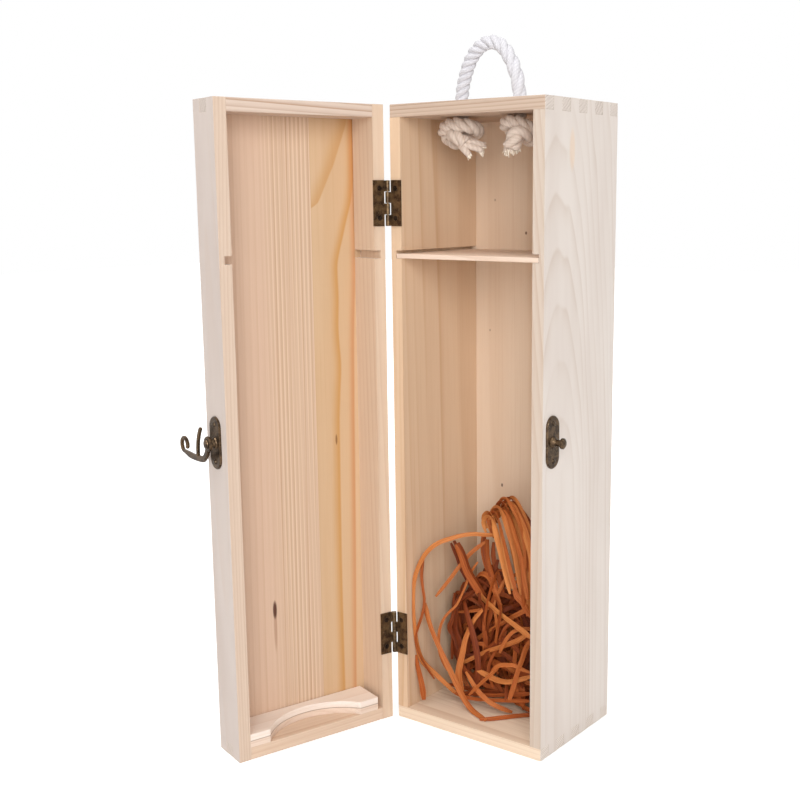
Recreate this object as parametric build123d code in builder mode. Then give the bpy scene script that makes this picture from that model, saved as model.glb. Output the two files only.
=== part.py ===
"""Single-bottle wooden wine box, standing on end with its lid swung open.

Millimetres, +Z up. The origin is the middle of the case's bottom face, +X points to the latch side
and -Y out of the case's open front. The lid is drawn closed in its own frame, whose origin is the
hinge pin, and that frame is turned about the pin by the opening angle.
"""
import os
from math import atan2, cos, degrees, pi, radians, sin, sqrt, tan

from build123d import *

# ---- case and lid -------------------------------------------------------------------------------
box_width = 100.0
box_height = 355.0
case_depth = 74.25
lid_depth = 24.0
wall = 7.0
case_fingers = 9            # finger cells over the case's depth, the first one on the end boards
lid_fingers = 3
panel_thickness = 3.0
panel_seat = 3.5            # width of the rebate that a back or lid panel sits in
lid_open = 107.5            # degrees that the lid stands open

# ---- divider, its grooves and the bottle cradle --------------------------------------------------
groove_height = 4.4
groove_depth = 4.0
neck_room = 71.8            # inside of the top board down to the top of the grooves
divider_thickness = 2.5
divider_side_gap = 0.4
divider_back_gap = 0.3
divider_rest_gap = 0.1
cradle_end_gap = 3.2        # end of the cradle to the hinge side
cradle_thickness = 3.8
cradle_radius = 36.5        # seat for the body of a bottle
cradle_sagitta = 14.7
cradle_back_gap = 0.4

# ---- butt hinges ---------------------------------------------------------------------------------
hinge_height = 25.0
hinge_end_distance = 53.0   # end of the box to the middle of a hinge
leaf_thickness = 0.8
leaf_gap = 0.3              # between the leaves of a closed hinge
leaf_reach = 9.0            # pin to the far edge of a leaf
knuckle_radius = 1.3
knuckle_count = 4
knuckle_gap = 0.2
knuckle_notch = 2.2         # pin to the leaf's edge beside the other leaf's knuckles
pin_radius = 0.5
pin_clearance = 0.05
pin_to_wall = 1.5           # pin to the outer face of the hinge side
hinge_screw_reach = 5.2
hinge_screw_pitch = 16.2
hinge_screw_length = 7.0

# ---- latch ---------------------------------------------------------------------------------------
plate_width = 12.0
plate_height = 28.5
plate_thickness = 1.2
plate_edge = 0.5            # easing round the face of a plate
boss_radius = 3.4
boss_height = 0.8
hook_plate_inset = 12.5     # lid rim to the middle of the hook plate
catch_plate_inset = 9.0     # case rim to the middle of the catch plate
latch_screw_pitch = 20.4
latch_screw_length = 4.5
hook_standoff = 3.8         # wood to the underside of the hook
hook_thickness = 2.0
hook_edge = 0.5             # easing of the hook's edges
hook_play = 0.2
hook_eye_radius = 4.1
rivet_radius = 1.6
rivet_clearance = 0.05
rivet_head_radius = 2.6
rivet_head_height = 1.0
stud_neck_radius = 1.8
stud_head_radius = 2.9
stud_head_height = 1.9
stud_gap = 0.3              # between the stud's neck and the latched hook
hook_wire = 1.9             # width of the hook's curl and horn
hook_web = 3.4              # width of the hook's heavy lower run
curl_radius = 3.8
curl_gap = 2.0              # latched stud to the inside of the curl
horn_reach = 13.2           # pivot to the root of the upright horn
horn_tip = (-9.2, 6.7)
seat_drop = 6.2             # stud seat below the level of the pivot, with the hook at rest

# ---- screws --------------------------------------------------------------------------------------
screw_radius = 0.7
screw_head_radius = 1.4
screw_clearance = 0.04
dome_height = 0.9

# ---- rope handle ---------------------------------------------------------------------------------
rope_diameter = 7.5
rope_hole_gap = 0.4
rope_spacing = 38.0
rope_rise = 38.0            # top board to the middle of the rope at the top of the arch
rope_arch = [(-0.84, 0.43), (-0.60, 0.67), (-0.20, 0.825), (0.30, 0.81), (0.65, 0.62), (0.87, 0.39)]
rope_straight = 12.0        # length of the rope's straight run up from each knot
knot_wrap_radius = 6.0
knot_wrap_shifts = (0.5, 3.0)   # how far the upper and the lower turn sit out from the rope
knot_wrap_tilt = (14, 22)   # degrees that the lower turn leans
knot_core_radius = 4.55
knot_core_length = 13.0
knot_tail_radius = 3.4
knot_sides = 8

# ---- raffia packing ------------------------------------------------------------------------------
ribbon_width = 3.2
ribbon_thickness = 0.8
ribbon_folds = 18           # straight lengths that make up a loop
nest_half_width = 38.0
nest_height = 111.0
nest_gap = 0.3

# ---- worked out from the sizes above -------------------------------------------------------------
half_width = box_width / 2
case_front = -case_depth / 2
case_back = case_depth / 2
inner_width = box_width - 2 * wall
cradle_length = inner_width - cradle_end_gap
rim_gap = 2 * leaf_thickness + leaf_gap
hinge_x = -half_width - pin_to_wall
hinge_y = case_front - rim_gap / 2
case_finger = case_depth / case_fingers
lid_finger = lid_depth / lid_fingers
case_panel_face = case_back - panel_thickness
handle_y = (case_back + case_front - rim_gap - lid_depth) / 2
groove_level = box_height - wall - neck_room - groove_height
hinge_levels = {"lower": hinge_end_distance, "upper": box_height - hinge_end_distance}
latch_level = box_height / 2
stud_distance = catch_plate_inset + rim_gap + hook_plate_inset

# The lid's frame, with its origin on the pin: x runs across the lid and y into the closed case.
turn = radians(lid_open)
lid_frame = Plane(origin=(hinge_x, hinge_y, 0), x_dir=(cos(turn), -sin(turn), 0), z_dir=(0, 0, 1))
lid_left = pin_to_wall
lid_right = pin_to_wall + box_width
lid_rim = -rim_gap / 2
lid_back = lid_rim - lid_depth
lid_panel_face = lid_back + panel_thickness
lid_middle = (lid_left + lid_right) / 2

os.makedirs("parts", exist_ok=True)


def save(part, name):
    part.label = name
    export_step(part, f"parts/{name}.step")


def lid_plane(x, y, z, x_dir, z_dir):
    """A plane given in the lid's frame."""
    place = lid_frame.from_local_coords(Vector(x, y, z))
    along = lid_frame.from_local_coords(Vector(*x_dir)) - lid_frame.origin
    out = lid_frame.from_local_coords(Vector(*z_dir)) - lid_frame.origin
    return Plane(origin=place, x_dir=along, z_dir=out)


# ---- boards --------------------------------------------------------------------------------------
def side_board(frame, x_outer, inward, rim, into, cells, end_cells):
    """A long side: fingers at both ends, the divider's groove and the panel's rebate.

    The board's outer face is at x_outer and inward is +1 or -1 along x. Its rim is at y = rim and
    its depth runs along into, +1 or -1. end_cells are the finger cells that the end boards fill.
    """
    depth = case_depth if cells == case_fingers else lid_depth
    cell = depth / cells
    middle_x = x_outer + inward * wall / 2
    with BuildPart(frame) as board:
        with Locations((middle_x, rim + into * depth / 2, box_height / 2)):
            Box(wall, depth, box_height)
        with Locations(*[(middle_x, rim + into * (n + 0.5) * cell, z)
                         for n in end_cells for z in (wall / 2, box_height - wall / 2)]):
            Box(wall, cell, wall, mode=Mode.SUBTRACT)
        groove_run = depth - panel_thickness
        with Locations((x_outer + inward * (wall - groove_depth / 2), rim + into * groove_run / 2,
                        groove_level + groove_height / 2)):
            Box(groove_depth, groove_run, groove_height, mode=Mode.SUBTRACT)
        with Locations((x_outer + inward * (wall - panel_seat / 2),
                        rim + into * (depth - panel_thickness / 2), box_height / 2)):
            Box(panel_seat, panel_thickness, box_height - 2 * (wall - panel_seat), mode=Mode.SUBTRACT)
    return board.part


def end_board(frame, middle, rim, into, cells, end_cells, top):
    """A top or bottom board, with fingers at both ends where end_cells says."""
    depth = case_depth if cells == case_fingers else lid_depth
    cell = depth / cells
    z = box_height - wall / 2 if top else wall / 2
    seat_z = box_height - wall + panel_seat / 2 if top else wall - panel_seat / 2
    with BuildPart(frame) as board:
        with Locations((middle, rim + into * depth / 2, z)):
            Box(inner_width, depth, wall)
        with Locations(*[(middle, rim + into * (n + 0.5) * cell, z) for n in end_cells]):
            Box(box_width, cell, wall)
        with Locations((middle, rim + into * (depth - panel_thickness / 2), seat_z)):
            Box(inner_width + 2 * panel_seat, panel_thickness, panel_seat, mode=Mode.SUBTRACT)
    return board.part


def panel(frame, middle, back, into):
    """A thin panel that lies in the rebate, flush with the edges of the boards."""
    with BuildPart(frame) as sheet:
        with Locations((middle, back - into * panel_thickness / 2, box_height / 2)):
            Box(inner_width + 2 * panel_seat, panel_thickness,
                box_height - 2 * wall + 2 * panel_seat)
    return sheet.part


case_end_cells = list(range(0, case_fingers, 2))
lid_end_cells = list(range(1, lid_fingers, 2))

case_sides = {}
for side, sign in (("hinge", -1), ("latch", 1)):
    case_sides[side] = side_board(Plane.XY, sign * half_width, -sign, case_front, 1,
                                  case_fingers, case_end_cells)

lid_sides = {}
for side, x_outer, inward in (("hinge", lid_left, 1), ("latch", lid_right, -1)):
    lid_sides[side] = side_board(lid_frame, x_outer, inward, lid_rim, -1,
                                 lid_fingers, lid_end_cells)

for level in (hinge_levels["lower"], hinge_levels["upper"]):
    for pitch in (-hinge_screw_pitch / 2, hinge_screw_pitch / 2):
        pilot = screw_radius + screw_clearance
        case_face = Plane(origin=(hinge_x + hinge_screw_reach, case_front, level + pitch),
                          z_dir=(0, 1, 0))
        lid_face = lid_plane(hinge_screw_reach, lid_rim, level + pitch, (1, 0, 0), (0, -1, 0))
        with BuildPart(case_face) as case_pilot:
            Cylinder(pilot, hinge_screw_length, align=(Align.CENTER, Align.CENTER, Align.MIN))
        with BuildPart(lid_face) as lid_pilot:
            Cylinder(pilot, hinge_screw_length, align=(Align.CENTER, Align.CENTER, Align.MIN))
        case_sides["hinge"] = case_sides["hinge"] - case_pilot.part
        lid_sides["hinge"] = lid_sides["hinge"] - lid_pilot.part

# The latch plates lie on the outer faces: x of these planes runs to the closed case, y runs up.
hook_face = lid_plane(lid_right, lid_rim - hook_plate_inset, latch_level, (0, 1, 0), (1, 0, 0))
catch_face = Plane(origin=(half_width, case_front + catch_plate_inset, latch_level),
                   x_dir=(0, 1, 0), z_dir=(1, 0, 0))
for sides, face in ((lid_sides, hook_face), (case_sides, catch_face)):
    for pitch in (-latch_screw_pitch / 2, latch_screw_pitch / 2):
        with BuildPart(face) as latch_pilot:
            with Locations((0, pitch, 0)):
                Cylinder(screw_radius + screw_clearance, latch_screw_length,
                         align=(Align.CENTER, Align.CENTER, Align.MAX))
        sides["latch"] = sides["latch"] - latch_pilot.part

for side in ("hinge", "latch"):
    save(case_sides[side], f"case_{side}_side")
    save(lid_sides[side], f"lid_{side}_side")

case_top_blank = end_board(Plane.XY, 0, case_front, 1, case_fingers, case_end_cells, True)
with BuildPart() as case_top:
    add(case_top_blank)
    with Locations((-rope_spacing / 2, handle_y, box_height), (rope_spacing / 2, handle_y, box_height)):
        Hole(rope_diameter / 2 + rope_hole_gap, wall)
save(case_top.part, "case_top")
save(end_board(Plane.XY, 0, case_front, 1, case_fingers, case_end_cells, False), "case_bottom")
save(panel(Plane.XY, 0, case_back, 1), "case_back")
save(end_board(lid_frame, lid_middle, lid_rim, -1, lid_fingers, lid_end_cells, True), "lid_top")
save(end_board(lid_frame, lid_middle, lid_rim, -1, lid_fingers, lid_end_cells, False), "lid_bottom")
save(panel(lid_frame, lid_middle, lid_back, -1), "lid_panel")

# ---- divider plate: a thin shelf whose ends run in the grooves -----------------------------------
divider_width = inner_width + 2 * groove_depth - 2 * divider_side_gap
divider_depth = case_depth - panel_thickness - divider_back_gap
with BuildPart() as divider_plate:
    with BuildSketch(Plane.XY.offset(groove_level + divider_rest_gap)):
        with Locations((0, case_front + divider_depth / 2)):
            Rectangle(divider_width, divider_depth)
    extrude(amount=divider_thickness)
save(divider_plate.part, "divider_plate")

# ---- bottle cradle: two plates glued one on the other, with an arc cut in the front edge ---------
cradle_depth = lid_depth - panel_thickness - cradle_back_gap
cradle_middle = lid_right - wall - cradle_length / 2
for layer, name in enumerate(("cradle_lower", "cradle_upper")):
    with BuildPart() as cradle:
        with BuildSketch(lid_frame.offset(wall + layer * cradle_thickness)):
            with Locations((cradle_middle, lid_rim - cradle_depth / 2)):
                Rectangle(cradle_length, cradle_depth)
            with Locations((cradle_middle, lid_rim + cradle_radius - cradle_sagitta)):
                Circle(cradle_radius, mode=Mode.SUBTRACT)
        extrude(amount=cradle_thickness)
    save(cradle.part, name)


# ---- butt hinges ---------------------------------------------------------------------------------
def knuckle_span(row):
    """Height of knuckle row, counted from the top, as its lowest and highest level."""
    pitch = hinge_height / knuckle_count
    high = hinge_height / 2 - row * pitch
    return high - pitch + knuckle_gap / 2, high - knuckle_gap / 2


def hinge_leaf(frame, level, back, own_rows):
    """A leaf with its rolled knuckles. Its back face is on the side of back, +1 or -1, along y."""
    pitch = hinge_height / knuckle_count
    sheet_y = back * (leaf_gap / 2 + leaf_thickness / 2)
    with BuildPart(frame.offset(level)) as leaf:
        with Locations(((knuckle_notch + leaf_reach) / 2, sheet_y, 0)):
            Box(leaf_reach - knuckle_notch, leaf_thickness, hinge_height)
        for row in own_rows:
            low, high = knuckle_span(row)
            with Locations((knuckle_notch / 2, sheet_y, (low + high) / 2)):
                Box(knuckle_notch, leaf_thickness, high - low)
            with Locations((0, 0, (low + high) / 2)):
                Cylinder(knuckle_radius, high - low)
        Cylinder(pin_radius + pin_clearance, hinge_height + pitch, mode=Mode.SUBTRACT)
        for pitch_z in (-hinge_screw_pitch / 2, hinge_screw_pitch / 2):
            with Locations(Location((hinge_screw_reach, sheet_y, pitch_z), (90, 0, 0))):
                Cylinder(screw_radius + screw_clearance, 2 * leaf_thickness, mode=Mode.SUBTRACT)
            sink = Location((hinge_screw_reach, sheet_y, pitch_z), (back * 90, 0, 0))
            with Locations(sink):
                Cone(screw_radius + screw_clearance, screw_head_radius + screw_clearance,
                     leaf_thickness, mode=Mode.SUBTRACT)
    return leaf.part


def hinge_screws(frame, back):
    """Two countersunk screws in each hinge, flush with the leaf's face. Local y runs as in a leaf."""
    face = back * leaf_gap / 2
    shank = leaf_thickness + hinge_screw_length - 0.5
    screws = []
    for level in hinge_levels.values():
        for pitch in (-hinge_screw_pitch / 2, hinge_screw_pitch / 2):
            with BuildPart(frame.offset(level + pitch)) as screw:
                with Locations(Location((hinge_screw_reach, face, 0), (back * -90, 0, 0))):
                    Cone(screw_head_radius, screw_radius, leaf_thickness,
                         align=(Align.CENTER, Align.CENTER, Align.MIN))
                    Cylinder(screw_radius, shank, align=(Align.CENTER, Align.CENTER, Align.MIN))
            screws.append(screw.part)
    return Compound(children=screws)


case_frame = Plane(origin=(hinge_x, hinge_y, 0), z_dir=(0, 0, 1))
for name, level in hinge_levels.items():
    save(hinge_leaf(case_frame, level, 1, (1, 3)), f"{name}_hinge_case_leaf")
    save(hinge_leaf(lid_frame, level, -1, (0, 2)), f"{name}_hinge_lid_leaf")
    with BuildPart(case_frame.offset(level)) as hinge_pin:
        Cylinder(pin_radius, hinge_height)
    save(hinge_pin.part, f"{name}_hinge_pin")
save(hinge_screws(case_frame, 1), "case_hinge_screws")
save(hinge_screws(lid_frame, -1), "lid_hinge_screws")


# ---- latch: two like plates, one with a riveted hook and one with a headed stud ------------------
def latch_plate(face, bore):
    """A round-ended plate with eased edges, a raised boss and a bore for its rivet or stud."""
    with BuildPart() as plate:
        with BuildSketch(face):
            SlotOverall(plate_height, plate_width, rotation=90)
        extrude(amount=plate_thickness)
        rim = plate.edges().filter_by(lambda edge: abs(face.to_local_coords(edge.center()).Z
                                                       - plate_thickness) < plate_edge / 2)
        chamfer(rim, plate_edge)
        with BuildSketch(face.offset(plate_thickness)):
            Circle(boss_radius)
        extrude(amount=boss_height, taper=20)
        with BuildSketch(face):
            Circle(bore)
            with Locations((0, -latch_screw_pitch / 2), (0, latch_screw_pitch / 2)):
                Circle(screw_radius + screw_clearance)
        extrude(amount=2 * plate_thickness + boss_height, mode=Mode.SUBTRACT)
    return plate.part


def latch_screws(face):
    """Two domed screws through a latch plate into the wood."""
    screws = []
    for pitch in (-latch_screw_pitch / 2, latch_screw_pitch / 2):
        profile = Plane(origin=face.from_local_coords(Vector(0, pitch, plate_thickness)),
                        x_dir=face.x_dir, z_dir=-face.y_dir)
        with BuildPart() as screw:
            with BuildSketch(profile):
                with BuildLine():
                    Polyline((0, dome_height), (screw_head_radius * 0.5, dome_height * 0.85),
                             (screw_head_radius * 0.85, dome_height * 0.5), (screw_head_radius, 0),
                             (screw_radius, 0), (screw_radius, 0.3 - plate_thickness - latch_screw_length),
                             (0, 0.3 - plate_thickness - latch_screw_length), close=True)
                make_face()
            revolve(axis=Axis(profile.origin, profile.y_dir))
        screws.append(screw.part)
    return Compound(children=screws)


def turned(face, outline):
    """A turned piece on the axis of a latch plate, from (radius, height) points."""
    profile = Plane(origin=face.origin, x_dir=face.x_dir, z_dir=-face.y_dir)
    with BuildPart() as piece:
        with BuildSketch(profile):
            with BuildLine():
                Polyline(*outline, close=True)
            make_face()
        revolve(axis=Axis(profile.origin, profile.y_dir))
    return piece.part


boss_top = plate_thickness + boss_height
rivet_bore = rivet_radius + rivet_clearance
hook_top = hook_standoff + hook_thickness
stud_seat = hook_top + hook_play + stud_gap
save(latch_plate(hook_face, rivet_bore), "hook_plate")
save(latch_plate(catch_face, rivet_bore), "catch_plate")
save(latch_screws(hook_face), "hook_plate_screws")
save(latch_screws(catch_face), "catch_plate_screws")

collar = hook_standoff - hook_play
head_base = hook_top + hook_play
save(turned(hook_face, [(0, 0), (rivet_radius, 0), (rivet_radius, boss_top), (boss_radius * 0.7, boss_top),
                        (rivet_radius * 1.3, collar), (rivet_radius, collar), (rivet_radius, head_base),
                        (rivet_head_radius, head_base), (rivet_head_radius * 0.9, head_base + 0.55),
                        (rivet_head_radius * 0.55, head_base + rivet_head_height * 0.9),
                        (0, head_base + rivet_head_height)]), "hook_rivet")
save(turned(catch_face, [(0, 0), (rivet_radius, 0), (rivet_radius, boss_top), (boss_radius * 0.85, boss_top),
                         (stud_neck_radius, collar - 0.4), (stud_neck_radius, stud_seat),
                         (stud_head_radius, stud_seat),
                         (stud_head_radius, stud_seat + stud_head_height * 0.5),
                         (stud_head_radius * 0.7, stud_seat + stud_head_height * 0.85),
                         (0, stud_seat + stud_head_height)]), "catch_stud")

# The hook, drawn on the hook plate's plane: it hangs out past the lid's back edge, so x is negative.
seat_x = -sqrt(stud_distance ** 2 - seat_drop ** 2)
seat_gap = stud_neck_radius + stud_gap
run_level = -seat_drop - seat_gap - hook_web / 2
curl_y = run_level + hook_web / 2 + curl_radius - 0.75
curl_x = seat_x - seat_gap - hook_wire / 2 - 0.85 * curl_radius - curl_gap
latched_turn = 180 + degrees(atan2(seat_drop, -seat_x))
print(f"hook: stud at {stud_distance:.2f} mm, latched after {latched_turn:.2f} degrees")


def stroke(width, *line_points):
    """A bar of even width along a spline, with round ends."""
    with BuildSketch() as bar:
        with BuildLine() as middle_line:
            Spline(*line_points)
        trace(line_width=width)
        with Locations(middle_line.line @ 0, middle_line.line @ 1):
            Circle(width / 2)
    return bar.sketch


curl = [(curl_x + curl_radius * cos(radians(angle)), curl_y + curl_radius * sin(radians(angle)))
        for angle in (-90, -150, 150, 90, 35, -15)]
run_start = (-7.0, run_level + 0.5)
run_end = (curl[0][0] + 6.5, run_level + 0.1)
hook_bars = [
    stroke(hook_web, (-0.6, -2.4), (-2.7, -6.4), run_start),
    stroke(hook_web, run_start, (-horn_reach, run_level), run_end),
    stroke(hook_wire, *curl),
    stroke(hook_wire, (-horn_reach, run_level), (-horn_reach + 0.3, -1.5), horn_tip),
]
with BuildSketch() as hook_taper:
    with Locations(run_end):
        Circle(hook_web / 2)
    with Locations(curl[0]):
        Circle(hook_wire / 2)
    make_hull()
with BuildPart() as hook:
    with BuildSketch(hook_face.offset(hook_standoff)):
        Circle(hook_eye_radius)
        for bar in hook_bars:
            add(bar)
        add(hook_taper.sketch)
    extrude(amount=hook_thickness)
    hook_faces = hook.faces().sort_by(Axis(hook_face.origin, hook_face.z_dir))
    chamfer(hook_faces[0].edges() + hook_faces[-1].edges(), hook_edge)
    with BuildSketch(hook_face):
        Circle(rivet_bore)
    extrude(amount=2 * hook_top, mode=Mode.SUBTRACT)
save(hook.part, "hook")

# ---- rope handle: up out of one hole in the top board, over in an arch and down the other --------
rope_exit = box_height - wall
half_spacing = rope_spacing / 2
rope_route = [(-half_spacing, rope_exit), (-half_spacing, rope_exit + rope_straight)]
rope_route += [(across * half_spacing, box_height + rise * rope_rise) for across, rise in rope_arch]
rope_route += [(half_spacing, rope_exit + rope_straight), (half_spacing, rope_exit)]
route = [Vector(x, handle_y, z) for x, z in rope_route]
radii = []
for before, here, after in zip(route, route[1:], route[2:]):
    shorter = min((here - before).length, (after - here).length)
    bend = (here - before).get_angle(after - here)
    radii.append(0.45 * shorter / tan(radians(bend / 2)))
print("rope radii", [round(radius, 1) for radius in radii])
with BuildPart() as rope_handle:
    with BuildLine() as rope_line:
        FilletPolyline(*route, radius=radii)
    with BuildSketch(Plane(origin=route[0], z_dir=(0, 0, 1))):
        Circle(rope_diameter / 2)
    sweep()
rope_length = rope_line.wires()[0].length
print(f"rope: {rope_length:.1f} mm long, volume {rope_handle.part.volume:.0f}, "
      f"section times length {pi * rope_diameter ** 2 / 4 * rope_length:.0f}")
save(rope_handle.part, "rope_handle")

def knot_wrap(frame, depth, shift, tilt, radius):
    """One turn of rope round the knot, with flat sides."""
    with BuildPart() as wrap:
        place = frame * Location((shift, 0, depth), (tilt[0], tilt[1], 0))
        across = Plane(place) * Location((0, 0, 0), (90, 0, 0))
        with BuildSketch(Plane(across)):
            with Locations((radius, 0)):
                RegularPolygon(rope_diameter / 2, knot_sides)
        revolve(axis=Axis(Plane(place).origin, Plane(place).z_dir))
    return wrap.part


def knot_tail(frame, start, end):
    """A frayed end that stands out of the knot."""
    root = frame.from_local_coords(Vector(*start))
    tip = frame.from_local_coords(Vector(*end))
    with BuildPart() as tail:
        with BuildSketch(Plane(origin=root, z_dir=tip - root)):
            RegularPolygon(knot_tail_radius, knot_sides)
        extrude(amount=(tip - root).length)
    return tail.part


# The tails run in the frame of their knot: x to the latch side, y to the open front and z down.
knot_tails = {"hinge": [((5.0, 2.0, 10.5), (15.5, 4.0, 13.0)), ((4.0, 2.0, 12.0), (9.0, 3.0, 20.0))],
              "latch": [((-4.0, 2.0, 10.0), (-9.5, 5.0, 14.0)), ((-3.0, 1.0, 11.0), (-7.5, 3.0, 18.5))]}
for name, sign in (("hinge", -1), ("latch", 1)):
    under = Plane(origin=(sign * half_spacing, handle_y, rope_exit), x_dir=(1, 0, 0), z_dir=(0, 0, -1))
    with BuildPart() as knot:
        with BuildSketch(under):
            RegularPolygon(knot_core_radius, knot_sides)
        extrude(amount=knot_core_length)
        upper_shift, lower_shift = knot_wrap_shifts
        add(knot_wrap(under, rope_diameter / 2, -sign * upper_shift, (0, 0), knot_wrap_radius))
        tilt = (knot_wrap_tilt[0], -sign * knot_wrap_tilt[1])
        add(knot_wrap(under, 1.45 * rope_diameter, -sign * lower_shift, tilt, 0.85 * knot_wrap_radius))
        for start, end in knot_tails[name]:
            add(knot_tail(under, start, end))
    save(knot.part, f"rope_knot_{name}_side")

# ---- raffia packing: flat ribbon loops that cross and hold each other ----------------------------
# Each loop is given by its middle in plan and its half width, in shares of the nest's half width,
# by its height over the board and its half height, in shares of the nest's height, and by the turn
# of its plane about Z and how far that plane leans over.
nest_loops = [
    (-0.45, -0.16, 0.58, 0.00, 0.405, 8, 4),
    (-0.24, 0.00, 0.68, 0.00, 0.30, -24, -10),
    (0.37, 0.05, 0.32, 0.22, 0.395, 18, 8),
    (0.45, 0.10, 0.45, 0.00, 0.47, 34, 3),
    (0.53, -0.05, 0.37, 0.08, 0.43, 62, -6),
    (0.16, -0.10, 0.79, 0.00, 0.235, 48, 22),
    (0.05, -0.05, 1.00, 0.00, 0.24, 4, 66),
    (0.16, -0.03, 0.84, 0.00, 0.24, -16, 58),
]
fold_angles = [2 * pi * n / ribbon_folds for n in range(ribbon_folds)]
with BuildPart() as raffia_packing:
    for x, y, across, lift, rise, yaw, lean in nest_loops:
        half_across = across * nest_half_width
        half_rise = rise * nest_height
        middle_z = (wall + nest_gap + lift * nest_height + half_rise * cos(radians(lean))
                    + ribbon_width / 2 * sin(radians(abs(lean))))
        x_dir = Vector(cos(radians(yaw)), sin(radians(yaw)), 0)
        out = Vector(x_dir.Y, -x_dir.X, 0) * cos(radians(lean)) + Vector(0, 0, sin(radians(lean)))
        outer = [(half_across * cos(a), half_rise * sin(a)) for a in fold_angles]
        inner = [((half_across - ribbon_thickness) * cos(a), (half_rise - ribbon_thickness) * sin(a))
                 for a in fold_angles]
        with BuildSketch(Plane(origin=(x * nest_half_width, y * nest_half_width, middle_z),
                               x_dir=x_dir, z_dir=out)):
            Polygon(*outer, align=None)
            Polygon(*inner, align=None, mode=Mode.SUBTRACT)
        extrude(amount=ribbon_width / 2, both=True)
save(raffia_packing.part, "raffia_packing")
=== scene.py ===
"""A single-bottle pine wine box, standing on end with its lid swung open.

Metres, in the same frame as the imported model: the origin is the middle of the case's bottom face,
+X points to the latch side, -Y out of the open front and +Z up.
"""
import math
import random

import bpy
import numpy as np
from mathutils import Matrix, Vector


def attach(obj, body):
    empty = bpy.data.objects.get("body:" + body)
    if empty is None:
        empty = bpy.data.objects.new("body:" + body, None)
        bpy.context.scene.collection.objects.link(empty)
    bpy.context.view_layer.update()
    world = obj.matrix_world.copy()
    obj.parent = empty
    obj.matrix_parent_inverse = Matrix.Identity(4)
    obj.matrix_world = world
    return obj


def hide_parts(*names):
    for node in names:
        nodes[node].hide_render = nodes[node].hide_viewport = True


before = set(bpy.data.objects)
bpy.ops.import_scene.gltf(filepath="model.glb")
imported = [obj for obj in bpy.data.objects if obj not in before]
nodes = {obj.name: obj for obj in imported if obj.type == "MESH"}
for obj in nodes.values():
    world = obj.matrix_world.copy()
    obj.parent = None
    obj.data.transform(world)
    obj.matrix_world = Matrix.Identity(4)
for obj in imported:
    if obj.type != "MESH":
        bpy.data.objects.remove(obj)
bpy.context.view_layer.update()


# ---- case boards ----
# Two long sides and two end boards of sanded pine, 7 mm thick, that hold each other by finger
# joints at the four corners, and a thin back panel glued into a rebate. The wood is left bare: pale
# early wood, thin tan late wood lines, and greyer end grain on the ends of the fingers.
class Shade:
    """One value, colour or place on its way through a finish."""

    def __init__(self, socket):
        self.socket = socket

    def step(self, kind, settings, sockets, out=0):
        """Adds a node of that kind with its settings, then its sockets' values or links.

        The result is its output out, by name or by place.
        """
        tree = self.socket.id_data
        made = tree.nodes.new("ShaderNode" + kind)
        for key, value in settings.items():
            if key == "stops":
                made.color_ramp.interpolation = "B_SPLINE"
                marks = made.color_ramp.elements
                marks.remove(marks[-1])
                marks[0].position, marks[0].color = value[0]
                for place, colour in value[1:]:
                    marks.new(place).color = colour
            else:
                setattr(made, key, value)
        for key, value in sockets.items():
            if isinstance(value, Shade):
                tree.links.new(value.socket, made.inputs[key])
            else:
                made.inputs[key].default_value = value
        return Shade(made.outputs[out])

    def math(self, operation, first, second=0.0):
        return self.step("Math", {"operation": operation}, {0: first, 1: second})

    def __add__(self, other):
        return self.math("ADD", self, other)

    def __radd__(self, other):
        return self.math("ADD", other, self)

    def __sub__(self, other):
        return self.math("SUBTRACT", self, other)

    def __rsub__(self, other):
        return self.math("SUBTRACT", other, self)

    def __mul__(self, other):
        return self.math("MULTIPLY", self, other)

    def __truediv__(self, other):
        return self.math("DIVIDE", self, other)

    def __pow__(self, other):
        return self.math("POWER", self, other)

    def __abs__(self):
        return self.math("ABSOLUTE", self)

    def wave(self):
        """Swings evenly between 0 and 1 as the value runs on."""
        return self.math("SINE", self) * 0.5 + 0.5

    def between(self, low, high):
        """0 below low, 1 above high and an even rise from one to the other."""
        return self.step("MapRange", {"interpolation_type": "SMOOTHSTEP"},
                         {0: self, 1: low, 2: high, 3: 0.0, 4: 1.0})

    def mix(self, first, second):
        """Colour first where this value is 0 and second where it is 1."""
        return self.step("Mix", {"data_type": "RGBA"}, {0: self, 6: first, 7: second}, 2)

    def dot(self, direction):
        return self.step("VectorMath", {"operation": "DOT_PRODUCT"}, {0: self, 1: direction},
                         "Value")

    def noise(self, scale, detail=2.0, rough=0.5):
        return self.step("TexNoise", {}, {"Vector": self, "Scale": scale, "Detail": detail,
                                          "Roughness": rough})

    def bump(self, strength, distance):
        return self.step("Bump", {}, {"Strength": strength, "Distance": distance, "Height": self})


def paint(red, green, blue):
    """A colour as it is mixed, from 0 to 255, in the linear values that a shader takes."""
    return tuple(((c / 255 + 0.055) / 1.055) ** 2.4 if c > 10 else c / 3294
                 for c in (red, green, blue)) + (1.0,)


def new_finish(name):
    """A material with its Principled shader, and the place on the piece to start a pattern from."""
    material = bpy.data.materials.new(name)
    material.use_nodes = True
    shader = material.node_tree.nodes["Principled BSDF"]
    place = Shade(material.node_tree.nodes.new("ShaderNodeTexCoord").outputs["Object"])
    return material, shader, place


def feed(shader, socket, shade):
    shader.id_data.links.new(shade.socket, shader.inputs[socket])


def drawn_out(along, wide, deep, share, shift):
    """The place with its length pressed to a share, so that a pattern on it runs with the grain."""
    return along.step("CombineXYZ", {}, {0: along * share + shift, 1: wide, 2: deep})


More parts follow.
